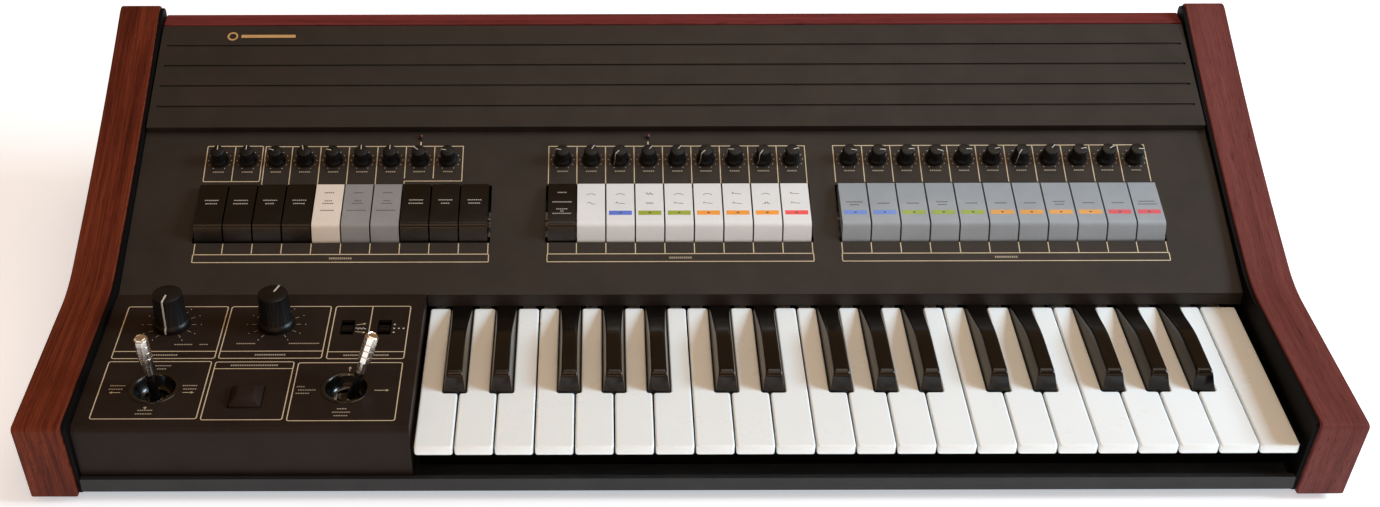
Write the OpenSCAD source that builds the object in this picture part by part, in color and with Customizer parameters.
// Thirty-seven key synthesizer with two joysticks, three banks of rocker
// switches and rotary knobs, in a steel and plastic case between wooden cheeks.
// Millimetres. The origin is under the middle of the case, at the foot of its
// rubber feet. X runs along the keyboard, Y to the back, Z up.
// Inside seat() the layout is measured from the bottom front edge of the
// cheeks: y = 0 there, and z = 0 at the bottom of the cheeks.

/* [Case] */
// Width over the two wooden cheeks
case_w = 781; // [776:1:790]
// Thickness of each wooden cheek
cheek_t = 28; // [24:1:30]
// Thickness of the black plate inside each cheek
liner_t = 2.5; // [2:0.5:3]
// How far the cheek's nose leans forward of its bottom edge
nose_lean = 7; // [4:1:10]
// Height of the cheek's nose
nose_h = 59.5; // [58:0.5:62]
// Height of the cheek at the foot of its slope
shelf_h = 57.5; // [57:0.5:59]
// Depth of the cheek's level part
shelf_d = 126; // [120:1:128]
// Height of the cheek at the back
back_h = 144; // [139:0.5:146]
// Depth of the case, from the cheek's bottom front edge to its back
case_d = 357; // [356:1:362]
// Height of the rubber feet under the cheeks
foot_drop = 5; // [4:1:8]

/* [Panel] */
// Depth at which the sloping panel starts
panel_y = 133.5; // [133:0.5:135]
// Height of the panel's front edge
panel_z = 50.5; // [50:0.5:51]
// Slope of the panel, in degrees
panel_tilt = 21.1; // [21:0.1:21.3]
// Thickness of the panel's sheet
sheet = 1.5; // [1.2:0.1:1.6]
// Spacing of the knobs and rockers along a bank
pitch = 19.2; // [19:0.1:19.3]
// Distance of the knob row up the panel
knob_s = 107.5; // [106:0.5:108]
// Distance of the rockers' pivots up the panel
rocker_s = 62; // [62:0.5:62.5]
// Distance of the vent cover's front edge up the panel
cover_s = 131.4; // [131:0.1:132]

/* [Keys] */
// Spacing of the white keys
key_pitch = 23.5; // [23:0.1:23.6]
// Left edge of the first white key
keys_x = -160.8; // [-161:0.1:-160]
// Height of the top of the white keys
key_z = 40.6; // [40:0.1:41]
// Width of a black key at its base
black_w = 13.7; // [13:0.1:13.8]
// Height of a black key above the white keys
black_h = 12; // [11:0.5:12]
// Depth of the key pivots
pivot_y = 190; // [188:1:192]
// Height of the key pivots
pivot_z = 28; // [27:0.5:28]

/* [Control block] */
// Right side of the block, just left of the first key
block_x = -162.8; // [-163:0.1:-162.4]
// Height of the block's flat top
block_z = 52; // [51.5:0.1:52.5]
// Depth of the two joystick centres
stick_y = 39; // [38:0.5:40]
// Depth of the two large knobs
big_knob_y = 101; // [96:0.5:102]
// Lean of the left joystick to the right, at rest
left_lean = -2; // [-8:1:8]
// Lean of the right joystick to the right, which stays where it is put
right_lean = 19; // [10:1:20]
// Dip of the left joystick to the front, at rest
left_dip = 3; // [-8:1:8]
// Dip of the right joystick to the front, where it was left
right_dip = -3; // [-8:1:8]

/* [Hidden] */
$fn = 48;

// Inner clear width between the two end plates, and half of it
inner_x = case_w / 2 - cheek_t - liner_t;
// Gap left around parts that are dropped in between others
gap = 0.4;
// Middle of the case's depth, which the origin stands under
mid_y = (case_d - nose_lean) / 2;

// Panel layout, along the slope from the panel's front edge
lip_h = 9;
panel_len = 141;
slot_front = 40.3;
slot_back = 86.3;
// Centre of the first knob of each of the three banks
effect_x = -307;
synthe_x = 0.2 - 4 * pitch;
instrument_x = 211.4 - 5 * pitch;
effect_knobs = 9;
effect_tabs = 10;
// Knobs of the other two banks, each with a tab below it
synthe_tabs = 9;
instrument_tabs = 11;
// Two small lamps above knobs of the first two banks
lamp_xs = [effect_x + 7 * pitch, synthe_x + 3 * pitch];
lamp_s = 126.2;
lamp_r = 1.5;

// Rocker tab
tab_w = 18.2;
tab_front = 40.8;
tab_bend = 48;
tab_back = 84.9;
tab_skirt = 4.5;
tab_bend_h = 9.8;
tab_back_h = 4.2;
tab_front_h = 1.6;
tab_wall = 1.8;
rocker_h = -5;
rod_r = 1.5;
run = 0.05;

// Small knob, from the panel's face
knob_skirt_r = 6.1;
knob_body_r = 4.7;
knob_draft = 0.3;
knob_lift = 0.8;
knob_skirt_h = 3.6;
knob_top = 11.2;
shaft_r = 3;
bush_r = 3.8;
small_pot_r = 8;
small_pot_h = 9;

// Large knob
big_skirt_r = 11.5;
big_body_r = 9.3;
big_draft = 0.9;
big_skirt_h = 4;
big_top = 24.2;
big_reach = 12;
volume_x = -318.9;
balance_x = -253.6;

// Keys
key_front = -1.9;
key_gap = 1;
key_back = 132.3;
head_len = 49.3;
lip_bottom = 34.2;
key_skin = 1.8;
lever_top = 38;
lever_w = 8;
lever_back = 197;
white_count = 22;
// Scale degree of each white key in an octave that has a black key after it
has_black = [1, 1, 0, 1, 1, 1, 0];
black_slot = black_w + 1;
// Tails of the white keys between the black keys, in each half of an octave
low_tail = (3 * key_pitch - 2 * black_slot) / 3;
high_tail = (4 * key_pitch - 3 * black_slot) / 4;
black_front = 48.1;
black_top_w = 9.8;
black_nose = 4.5;
// Where a black key's top starts to fall, where it falls evenly, and how fast
fall_start = 82;
fall_even = 100;
fall_rate = 0.25;
key_rod_r = 2;

// Control block
block_front = 1.5;
block_foot = 5;
block_bottom = 5.8;
block_back = 132.4;
toe_h = 13.5;
toe_back = 3.7;
pan_z = 4;
wall = 2.5;
left_stick_x = -317.5;
right_stick_x = -203.2;
cup_r = 13.5;
cup_rim = 15.2;
cup_depth = 8;
cup_mouth = 8.2;
stick_drop = 16;
stick_len = 56.5;
grip_r = 4.3;
grip_foot = 36.7;
neck_r = 2.8;
neck_foot = 28;
ring_half = 10;
button_x = -261.3;
button_y = 30;
button_w = 19;
window_w = 8.6;
window_d = 15;
window_y = 98;
slide_left_x = -209.2;
slide_right_x = -186.1;

// Back of the case
board_t = 15;
board_top = 135.5;
board_bottom = 62;
cover_h = 5.5;
cover_t = 2.6;
cover_len = 90;
groove_pitch = 18;
groove_end = 4;
jack_r = 3.25;
jack_nut_r = 5.5;
jack_z = 33;
jack_pitch = 24;
jack_first_x = -200;
jack_count = 8;
// Back wall of the pan, and the mains inlet in the gap between its two plates
pan_back = case_d - 19;
plate_z = 5.7;
inlet_x = 250;
inlet_gap = 28.6;
inlet_z = 33;
inlet_w = 28;
inlet_h = 20;
inlet_shell = 2;
inlet_plate_w = 44;
inlet_plate_top = 60.5;
inlet_screw_x = 18;

// Screws and feet under the case
screw_xs = [-300, 0, 300];
screw_ys = [30, 310];
foot_xs = [-330, 330];
foot_ys = [28, 318];

// The layout frame, set down in the part's frame
module seat() { translate([0, -mid_y, foot_drop]) children(); }

// The panel's own frame: x, distance up the slope, height off the panel
module panel_frame() {
  translate([0, panel_y, panel_z]) rotate([panel_tilt, 0, 0]) children();
}

// A plain outline in depth and height, carried w along x from x0
module slab_x(x0, w, points) {
  translate([x0, 0, 0]) rotate([90, 0, 90]) linear_extrude(w) polygon(points);
}

// A box from its lowest corner to its highest corner
module span(low, high) { translate(low) cube(high - low); }

// Points of an arc about c
function arc(c, r, a0, a1, steps) =
  [for (i = [0:steps]) let (a = a0 + (a1 - a0) * i / steps)
    [c[0] + r * cos(a), c[1] + r * sin(a)]];

// Points of a shallow curve from p to q that sags by bow below the chord
function sag(p, q, bow, steps) =
  [for (i = [0:steps]) let (t = i / steps)
    p + (q - p) * t + [0, -4 * bow * t * (1 - t)]];

// Side outline of a cheek, drawn in by inset and back from the nose by trim
function cheek_outline(inset, trim) =
  let (nose_r = 3, back_r = 6, edge = case_d - inset, top = back_h - inset)
  concat(
    [[trim, inset]],
    arc([trim - nose_lean + nose_r, nose_h - inset - nose_r],
        nose_r, 180, 90, 4),
    sag([shelf_d - 8, shelf_h - inset], [shelf_d + 18, shelf_h + 4.2 - inset],
        0.9, 4),
    sag([shelf_d + 26, shelf_h + 7 - inset], [edge - 11, top - 1.3], 3, 9),
    arc([edge - back_r, top - back_r], back_r, 100, 0, 6),
    [[edge, inset]]
  );

module wooden_cheeks() {
  color("sienna") seat() for (x0 = [-case_w / 2, case_w / 2 - cheek_t])
    slab_x(x0, cheek_t, cheek_outline(0, 0));
}

module end_plates() {
  color("black") seat() for (x0 = [-inner_x - liner_t, inner_x])
    slab_x(x0, liner_t, cheek_outline(1.2, 3));
}

// Steel tray with a toe rail along its front, and the two plates that stand at
// its back, on either side of the mains inlet
module base_pan() {
  half = inner_x - gap;
  top = board_bottom - gap;
  color("dimgray") seat() {
    difference() {
      union() {
        span([-half, 0.6, pan_z], [half, pan_back, pan_z + sheet]);
        span([-half, 0.6, pan_z], [half, toe_back, toe_h]);
      }
      for (x = screw_xs, y = screw_ys)
        translate([x, y, pan_z]) cylinder(r = 2.2, h = 9, center = true);
    }
    difference() {
      span([-half, pan_back - sheet, plate_z],
           [inlet_x - inlet_gap / 2, pan_back, top]);
      for (i = [0:jack_count - 1])
        at_jack(i) cylinder(r = 5, h = 20, center = true);
    }
    span([inlet_x + inlet_gap / 2, pan_back - sheet, plate_z],
         [half, pan_back, top]);
  }
}

// Wooden board that closes the back between the cheeks
module rear_board() {
  half = inner_x - gap;
  front = case_d - 1.5 - board_t;
  color("saddlebrown") seat()
    span([-half, front, board_bottom], [half, front + board_t, board_top]);
}

module at_jack(i) {
  translate([jack_first_x + i * jack_pitch, pan_back - sheet / 2, jack_z])
    rotate([-90, 0, 0]) children();
}

// Socket for a 6.35 mm plug: body inside the wall, threaded nose and nut
module jack() {
  difference() {
    union() {
      translate([-8, -8, -30]) cube([16, 16, 29.25]);
      translate([0, 0, -1]) cylinder(r = 4.4, h = 9);
      translate([0, 0, 0.75]) cylinder(r = jack_nut_r, h = 3, $fn = 6);
    }
    translate([0, 0, -27]) cylinder(r = jack_r, h = 40);
  }
}

// Mains inlet: a deep socket on a plate that closes the gap in the back
module mains_inlet() {
  bore = [inlet_w / 2 - inlet_shell, inlet_h / 2 - inlet_shell];
  translate([inlet_x, pan_back, inlet_z]) difference() {
    union() {
      span([-inlet_w / 2, -22, -inlet_h / 2], [inlet_w / 2, 0.2, inlet_h / 2]);
      span([-inlet_plate_w / 2, 0.1, plate_z - inlet_z],
           [inlet_plate_w / 2, 2.5, inlet_plate_top - inlet_z]);
    }
    span([-bore[0], -17, -bore[1]], [bore[0], 3, bore[1]]);
    for (s = [-1, 1])
      translate([s * inlet_screw_x, 0, 0]) rotate([-90, 0, 0])
        cylinder(r = 1.6, h = 9, center = true);
  }
}

module rear_sockets() {
  color("silver") seat() {
    for (i = [0:jack_count - 1]) at_jack(i) jack();
    mains_inlet();
  }
}

// Raised ribbed cover over the vents at the top of the slope
module vent_cover() {
  half = inner_x - 1.2;
  color("darkslategray") seat() panel_frame() difference() {
    union() {
      span([-half, cover_s, cover_h - cover_t],
           [half, cover_s + cover_len, cover_h]);
      span([-half, cover_s, 0.2], [half, cover_s + 2, cover_h]);
    }
    for (i = [1:4])
      span([-half + groove_end, cover_s + i * groove_pitch - 0.8, cover_h - 1.2],
           [half - groove_end, cover_s + i * groove_pitch + 0.8, cover_h + 1]);
  }
}

module bank_slot(first_x, count) {
  left = first_x - pitch / 2 - 1.2;
  span([left, slot_front, -4], [left + count * pitch + 2.4, slot_back, 4]);
}

module knob_row(first_x, count) {
  for (i = [0:count - 1]) translate([first_x + i * pitch, knob_s, 0]) children();
}

// Folded sheet that carries the three banks
module control_panel() {
  half = inner_x - gap;
  color("dimgray") seat() panel_frame() difference() {
    union() {
      span([-half, 0, -sheet], [half, panel_len, 0]);
      rotate([-panel_tilt, 0, 0])
        span([-half, 0, -lip_h], [half, sheet, -0.4]);
    }
    bank_slot(effect_x, effect_tabs);
    bank_slot(synthe_x, synthe_tabs);
    bank_slot(instrument_x, instrument_tabs);
    knob_row(effect_x, effect_knobs) cylinder(r = bush_r + 0.1, h = 9, center = true);
    knob_row(synthe_x, synthe_tabs) cylinder(r = bush_r + 0.1, h = 9, center = true);
    knob_row(instrument_x, instrument_tabs)
      cylinder(r = bush_r + 0.1, h = 9, center = true);
    for (x = lamp_xs) translate([x, lamp_s, 0]) cylinder(r = lamp_r + 0.1, h = 9, center = true);
    // The lip stops short of the control block's top
    rotate([-panel_tilt, 0, 0])
      span([-half - 1, -1, -lip_h - 1], [block_x + 0.6, sheet + 1, -1.9]);
  }
}

// Outline of the control block's shell, drawn in by t and left open below
function block_outline(t) =
  let (bottom = block_bottom - (t > 0 ? 5 : 0))
  concat(
    [[block_foot + t, bottom]],
    arc([block_front + 4, block_z - 4], 4 - t / 2, 184, 90, 5),
    [[block_back - t, block_z - t], [block_back - t, bottom]]
  );

// Plastic box left of the keys with the joysticks and the large knobs
module control_block() {
  left = -inner_x + gap;
  color("dimgray") seat() difference() {
    slab_x(left, block_x - left, block_outline(0));
    slab_x(left + wall, block_x - left - 2 * wall, block_outline(wall));
    for (x = [volume_x, balance_x])
      translate([x, big_knob_y, block_z]) cylinder(r = bush_r + 0.1, h = 12, center = true);
    for (x = [left_stick_x, right_stick_x])
      translate([x, stick_y, block_z]) cylinder(r = cup_r + 0.3, h = 12, center = true);
    span([button_x - 10, button_y - 10, block_z - 6],
         [button_x + 10, button_y + 10, block_z + 6]);
    for (x = [slide_left_x, slide_right_x])
      span([x - window_w / 2, window_y - window_d / 2, block_z - 6],
           [x + window_w / 2, window_y + window_d / 2, block_z + 6]);
    // Open back, below the edge of the panel
    span([left - 1, block_back - 5, block_bottom - 1],
         [block_x + 1, block_back + 1, 40]);
  }
}

// Height of the cup's inner surface at radius r, a bowl with an open middle
function bowl_z(r) = -cup_depth * (1 - pow((r - cup_mouth) / (cup_r - 1 - cup_mouth), 2));

// Round bowl that a joystick leans in, with two lugs that carry the yoke
module joystick_cup() {
  rs = [for (i = [0:6]) cup_mouth + (cup_r - 1 - cup_mouth) * i / 6];
  difference() {
    union() {
      rotate_extrude() polygon(concat(
        [[cup_r, 0.05], [cup_rim, 0.05], [cup_rim, 0.9], [cup_r - 0.6, 1.1]],
        [for (i = [6:-1:0]) [rs[i], bowl_z(rs[i])]],
        [[cup_mouth, -cup_depth - 0.8]],
        [for (i = [1:6]) [rs[i] + 0.9, bowl_z(rs[i]) - 0.8]]));
      for (s = [-1, 1])
        translate([0, 13.2 * s, -11]) cube([6, 2, 15], center = true);
    }
    translate([0, 0, -stick_drop]) rotate([90, 0, 0])
      cylinder(r = 1.4 + run, h = 40, center = true);
  }
}

module joystick_cups() {
  color("black") seat() for (x = [left_stick_x, right_stick_x])
    translate([x, stick_y, block_z]) joystick_cup();
}

// Square ring that carries a joystick and turns about the depth axis
module yoke(x, lean) {
  inner = ring_half - 2;
  translate([x, stick_y, block_z - stick_drop]) rotate([0, lean, 0]) difference() {
    union() {
      difference() {
        cube([2 * ring_half, 2 * ring_half, 4], center = true);
        cube([2 * inner, 2 * inner, 5], center = true);
      }
      for (s = [-1, 1])
        translate([0, 12 * s, 0]) rotate([90, 0, 0]) cylinder(r = 1.4, h = 4.4, center = true);
    }
    rotate([0, 90, 0]) cylinder(r = 1.2 + run, h = 40, center = true);
  }
}

// Joystick: cross pin, dust cap, black neck, and metal grip on a metal collar
module lever(x, lean, dip) {
  translate([x, stick_y, block_z - stick_drop]) rotate([0, lean, 0]) rotate([dip, 0, 0]) {
    rotate([0, 90, 0]) cylinder(r = 1.2, h = 2 * ring_half - 0.8, center = true);
    translate([0, 0, -11]) cylinder(r = 2, h = 20);
    intersection() {
      sphere(r = 9.5);
      translate([-10, -10, 7]) cube([20, 20, 10]);
    }
    translate([0, 0, 8]) cylinder(r1 = 3.4, r2 = neck_r - 0.1, h = neck_foot - 7.5);
    translate([0, 0, neck_foot]) cylinder(r = neck_r, h = grip_foot + 1 - neck_foot);
    translate([0, 0, grip_foot]) cylinder(r = grip_r, h = stick_len - 1.5 - grip_foot);
    translate([0, 0, stick_len - 1.5]) cylinder(r1 = grip_r, r2 = grip_r - 1, h = 1.5);
  }
}

module left_stick_yoke() { color("gray") seat() yoke(left_stick_x, left_lean); }
module right_stick_yoke() { color("gray") seat() yoke(right_stick_x, right_lean); }
module left_stick() {
  color("silver") seat() lever(left_stick_x, left_lean, left_dip);
}
module right_stick() {
  color("silver") seat() lever(right_stick_x, right_lean, right_dip);
}

// Square momentary button with a pyramid cap cut off flat
module push_button() {
  low = 1.2;
  high = 5.2;
  color("black") seat() translate([button_x, button_y, block_z]) union() {
    intersection() {
      slab_x(-button_w / 2, button_w, [
        [-button_w / 2, -6], [-button_w / 2, low], [-button_w / 2 + 4.5, high],
        [button_w / 2 - 5.5, high], [button_w / 2, low], [button_w / 2, -6]]);
      rotate([0, 0, 90]) slab_x(-button_w / 2, button_w, [
        [-button_w / 2, -6], [-button_w / 2, low], [-button_w / 2 + 4.5, high],
        [button_w / 2 - 4.5, high], [button_w / 2, low], [button_w / 2, -6]]);
    }
    translate([-3, -3, -14]) cube([6, 6, 9]);
  }
}

module slide_cap(x) {
  translate([x, window_y, block_z]) union() {
    span([-4.4, -4.4, -6.5], [4.4, 4.4, -3.6]);
    span([-3.6, -2.6, -4], [3.6, 2.6, -0.4]);
  }
}

module slide_cap_left() { color("black") seat() slide_cap(slide_left_x); }
module slide_cap_right() { color("black") seat() slide_cap(slide_right_x); }

// Knob with a skirt, pressed on the flatted end of its potentiometer's shaft
module knob(skirt_r, body_r, draft, skirt_h, top, reach) {
  lift = knob_lift;
  rotate_extrude() polygon([
    [shaft_r, lift], [skirt_r, lift], [skirt_r, lift + skirt_h - 1],
    [skirt_r - 1, lift + skirt_h], [body_r + draft, lift + skirt_h],
    [body_r, top - 0.8], [body_r - 0.8, top], [0, top], [0, top - 2],
    [shaft_r, top - 2]]);
  translate([0, 0, -reach]) cylinder(r = shaft_r - run, h = reach + top - 2.2);
}

module small_knob() {
  knob(knob_skirt_r, knob_body_r, knob_draft, knob_skirt_h, knob_top, small_pot_h);
}

module big_knob(x) {
  translate([x, big_knob_y, block_z])
    knob(big_skirt_r, big_body_r, big_draft, big_skirt_h, big_top, big_reach);
}

module bank_knob(first_x, i) {
  color("black") seat() panel_frame()
    translate([first_x + (i - 1) * pitch, knob_s, 0]) small_knob();
}

module volume_knob() { color("black") seat() big_knob(volume_x); }
module balance_knob() { color("black") seat() big_knob(balance_x); }

// Body and bush of each potentiometer, open for the turning shaft
module pot(r, h, depth) {
  difference() {
    union() {
      translate([0, 0, -depth - h]) cylinder(r = r, h = h);
      translate([0, 0, -depth - 1]) cylinder(r = bush_r, h = depth + 1);
    }
    translate([0, 0, -depth - h + 1]) cylinder(r = shaft_r, h = depth + h);
  }
}

// Potentiometers, the bodies of the switches, and the two lamps
module panel_controls() {
  color("silver") seat() {
    panel_frame() {
      knob_row(effect_x, effect_knobs) pot(small_pot_r, small_pot_h, sheet + 0.1);
      knob_row(synthe_x, synthe_tabs) pot(small_pot_r, small_pot_h, sheet + 0.1);
      knob_row(instrument_x, instrument_tabs) pot(small_pot_r, small_pot_h, sheet + 0.1);
      for (x = lamp_xs) translate([x, lamp_s, -6]) cylinder(r = lamp_r, h = 8);
    }
    for (x = [volume_x, balance_x])
      translate([x, big_knob_y, block_z]) pot(11, 11, wall + 0.1);
    for (x = [slide_left_x, slide_right_x]) translate([x, window_y, block_z])
      span([-6.5, -10, -12.5], [6.5, 10, -6.8]);
    translate([button_x, button_y, block_z]) span([-7, -7, -24], [7, 7, -18]);
  }
}

// Rocker tab: a hollow cap with a rib that is bored for the pivot rod
module tab() {
  left = -tab_w / 2;
  difference() {
    union() {
      difference() {
        slab_x(left, tab_w, [
          [tab_front, -tab_skirt], [tab_front, 0], [tab_front + 0.6, tab_front_h],
          [tab_bend - 0.6, tab_bend_h - 0.3], [tab_bend + 0.6, tab_bend_h],
          [tab_back, tab_back_h], [tab_back, -tab_skirt]]);
        slab_x(left + tab_wall, tab_w - 2 * tab_wall, [
          [tab_front + tab_wall, -tab_skirt - 1],
          [tab_front + tab_wall, tab_front_h - 1],
          [tab_bend + 0.5, tab_bend_h - tab_wall - 0.4],
          [tab_back - tab_wall, tab_back_h - tab_wall],
          [tab_back - tab_wall, -tab_skirt - 1]]);
      }
      slab_x(-2, 4, [
        [rocker_s - 5, rocker_h - 3], [rocker_s - 5, 5],
        [rocker_s + 5, 4], [rocker_s + 5, rocker_h - 3]]);
    }
    translate([0, rocker_s, rocker_h]) rotate([0, 90, 0])
      cylinder(r = rod_r + run, h = tab_w + 2, center = true);
  }
}

module tab_row(first_x, count) {
  seat() panel_frame() for (i = [0:count - 1])
    translate([first_x + i * pitch, 0, 0]) tab();
}

module effect_rockers() { color("black") tab_row(effect_x, effect_tabs); }
module synthe_rockers() { color("white") tab_row(synthe_x, synthe_tabs); }
module instrument_rockers() {
  color("lightslategray") tab_row(instrument_x, instrument_tabs);
}

// Pivot rod of a bank, between two brackets under the panel
module rail(first_x, count) {
  left = first_x - pitch / 2 - 5;
  right = left + count * pitch + 10;
  translate([left, rocker_s, rocker_h]) rotate([0, 90, 0])
    cylinder(r = rod_r, h = right - left);
  for (x = [left, right - 3])
    span([x, rocker_s - 10, rocker_h - 6], [x + 3, rocker_s + 10, -sheet - 0.2]);
  span([left, rocker_s - 10, rocker_h - 7.5], [right, rocker_s + 10, rocker_h - 6]);
}

module rocker_rails() {
  color("silver") seat() panel_frame() {
    rail(effect_x, effect_tabs);
    rail(synthe_x, synthe_tabs);
    rail(instrument_x, instrument_tabs);
  }
}

// Left edge of the tail of the white key with scale degree d
function tail_x(d) =
  d < 3 ? d * (low_tail + black_slot)
        : 3 * key_pitch + (d - 3) * (high_tail + black_slot);
function tail_w(d) = d < 3 ? low_tail : high_tail;
// Centre of the black key that follows scale degree d
function black_x(d) = tail_x(d) + tail_w(d) + black_slot / 2;
function octave_x(i) = keys_x + floor(i / 7) * 7 * key_pitch;

// White key: a hollow head and tail over a lever with the pivot's bore
module white_key(i) {
  d = i % 7;
  last = i == white_count - 1;
  head_x = keys_x + i * key_pitch + key_gap / 2;
  head_r = head_x + key_pitch - key_gap;
  tail_l = max(head_x, octave_x(i) + tail_x(d));
  tail_r = last ? head_r : min(head_r, octave_x(i) + tail_x(d) + tail_w(d));
  lever_l = (tail_l + tail_r - lever_w) / 2;
  difference() {
    union() {
      difference() {
        union() {
          span([head_x, key_front, lip_bottom],
               [head_r, head_len - 1.8, key_z]);
          span([tail_l, head_len - 3, lip_bottom], [tail_r, key_back, key_z]);
        }
        span([head_x + key_skin, key_front + key_skin, lip_bottom - 1],
             [head_r - key_skin, head_len - 1.8 - key_skin, key_z - 2.4]);
        span([tail_l + key_skin, head_len - 5, lip_bottom - 1],
             [tail_r - key_skin, key_back - key_skin, key_z - 2.4]);
      }
      span([lever_l, 40, 26], [lever_l + lever_w, 125, key_z - 2]);
      span([lever_l, 124, pivot_z - 5], [lever_l + lever_w, lever_back, lever_top]);
    }
    translate([lever_l, pivot_y, pivot_z]) rotate([0, 90, 0])
      cylinder(r = key_rod_r + run, h = 60, center = true);
  }
}

// How far a black key's top has fallen at depth y
function black_fall(y) =
  y < fall_even ? fall_rate * pow(y - fall_start, 2) / (2 * (fall_even - fall_start))
                : fall_rate * (y - (fall_start + fall_even) / 2);

// Black key: a tapered bar with a sloping nose and a top that falls away to the
// back, over the same kind of lever
module black_key(i) {
  x = octave_x(i) + black_x(i % 7);
  top = key_z + black_h;
  base = key_z - 4;
  spread = black_w / 2 + 0.1;
  difference() {
    union() {
      difference() {
        translate([x, key_back, 0]) rotate([90, 0, 0])
          linear_extrude(key_back - black_front) polygon([
            [-spread, base], [spread, base], [black_w / 2, key_z],
            [black_top_w / 2, top - 1], [black_top_w / 2 - 1, top],
            [1 - black_top_w / 2, top], [-black_top_w / 2, top - 1],
            [-black_w / 2, key_z]]);
        translate([x, black_front, key_z])
          rotate([-atan(black_nose / black_h), 0, 0])
            span([-20, -20, -20], [20, 0, 20]);
        slab_x(x - 10, 20, concat(
          [for (k = [0:6]) let (y = fall_start + (fall_even - fall_start) * k / 6)
            [y, top - black_fall(y)]],
          [[key_back + 1, top - black_fall(key_back + 1)],
           [key_back + 1, top + 1], [fall_start, top + 1]]));
      }
      span([x - 3.5, 60, 26], [x + 3.5, 125, base + 1]);
      span([x - 3.5, 124, pivot_z - 5], [x + 3.5, lever_back, base + 1]);
    }
    translate([x, pivot_y, pivot_z]) rotate([0, 90, 0])
      cylinder(r = key_rod_r + run, h = 30, center = true);
  }
}

module white_keys_odd() {
  color("ivory") seat() for (i = [0:2:white_count - 1]) white_key(i);
}

module white_keys_even() {
  color("white") seat() for (i = [1:2:white_count - 1]) white_key(i);
}

module black_keys() {
  color("black") seat() for (i = [0:white_count - 2])
    if (has_black[i % 7] == 1) black_key(i);
}

// Steel bed under the keys: front rail, floor, end brackets and pivot rod
module key_frame() {
  left = keys_x + 0.2;
  right = inner_x - 1;
  color("dimgray") seat() union() {
    span([left, 22, pan_z + sheet + 0.3], [right, 23.5, 22]);
    span([left, 22, 11.5], [right, 205, 13]);
    for (x = [left, right - 2])
      span([x, 150, 11.5], [x + 2, 205, pivot_z + 6]);
    translate([left, pivot_y, pivot_z]) rotate([0, 90, 0])
      cylinder(r = key_rod_r, h = right - left);
    span([left, 203.5, pan_z + sheet + 0.3], [right, 205, 20]);
  }
}

// Boards: key contacts under the keys, tab switches under the panel, voices
module circuit_boards() {
  color("darkgreen") seat() {
    union() {
      span([-155, 70, 14.2], [350, 105, 15.8]);
      for (i = [0:6]) span([-140 + i * 70, 74, 15], [-118 + i * 70, 80, 18]);
    }
    panel_frame() span([-335, 34, -22], [335, 98, -20.4]);
    union() {
      span([-340, 215, 12], [150, 325, 13.6]);
      for (i = [0:8], j = [0:2])
        span([-320 + i * 52, 228 + j * 34, 13], [-300 + i * 52, 236 + j * 34, 17.5]);
    }
  }
}

// Mains transformer on its plate: core, winding and two lugs
module power_supply() {
  color("slategray") seat() union() {
    span([185, 245, pan_z + sheet + 0.2], [265, 305, 8]);
    span([195, 252, 7.5], [255, 298, 55]);
    span([203, 243, 15], [247, 307, 47]);
  }
}

module rubber_feet() {
  color("black") seat() for (x = foot_xs, y = foot_ys)
    translate([x, y, -foot_drop]) difference() {
      cylinder(r1 = 9.5, r2 = 11, h = foot_drop + pan_z);
      translate([0, 0, -1]) cylinder(r = 4.5, h = 4);
    }
}

module screws() {
  color("silver") seat() {
    for (x = screw_xs, y = screw_ys) translate([x, y, pan_z]) {
      translate([0, 0, -2]) cylinder(r = 4, h = 1.8);
      translate([0, 0, -0.3]) cylinder(r = 2, h = 5.2);
    }
    for (s = [-1, 1])
      translate([inlet_x + s * inlet_screw_x, pan_back + 2.6, inlet_z])
        rotate([-90, 0, 0]) cylinder(r = 2.8, h = 1.4);
  }
}

key_frame();
white_keys_odd();
white_keys_even();
black_keys();
effect_rockers();
synthe_rockers();
instrument_rockers();
left_stick_yoke();
left_stick();
right_stick_yoke();
right_stick();
push_button();
slide_cap_left();
slide_cap_right();
volume_knob();
balance_knob();
bank_knob(effect_x, 1);  // effect_knob_1
bank_knob(effect_x, 2);  // effect_knob_2
bank_knob(effect_x, 3);  // effect_knob_3
bank_knob(effect_x, 4);  // effect_knob_4
bank_knob(effect_x, 5);  // effect_knob_5
bank_knob(effect_x, 6);  // effect_knob_6
bank_knob(effect_x, 7);  // effect_knob_7
bank_knob(effect_x, 8);  // effect_knob_8
bank_knob(effect_x, 9);  // effect_knob_9
bank_knob(synthe_x, 1);  // synthe_knob_1
bank_knob(synthe_x, 2);  // synthe_knob_2
bank_knob(synthe_x, 3);  // synthe_knob_3
bank_knob(synthe_x, 4);  // synthe_knob_4
bank_knob(synthe_x, 5);  // synthe_knob_5
bank_knob(synthe_x, 6);  // synthe_knob_6
bank_knob(synthe_x, 7);  // synthe_knob_7
bank_knob(synthe_x, 8);  // synthe_knob_8
bank_knob(synthe_x, 9);  // synthe_knob_9
bank_knob(instrument_x, 1);  // instrument_knob_1
bank_knob(instrument_x, 2);  // instrument_knob_2
bank_knob(instrument_x, 3);  // instrument_knob_3
bank_knob(instrument_x, 4);  // instrument_knob_4
bank_knob(instrument_x, 5);  // instrument_knob_5
bank_knob(instrument_x, 6);  // instrument_knob_6
bank_knob(instrument_x, 7);  // instrument_knob_7
bank_knob(instrument_x, 8);  // instrument_knob_8
bank_knob(instrument_x, 9);  // instrument_knob_9
bank_knob(instrument_x, 10);  // instrument_knob_10
bank_knob(instrument_x, 11);  // instrument_knob_11
wooden_cheeks();
end_plates();
base_pan();
rear_board();
rear_sockets();
vent_cover();
control_panel();
control_block();
joystick_cups();
circuit_boards();
panel_controls();
rocker_rails();
power_supply();
rubber_feet();
screws();
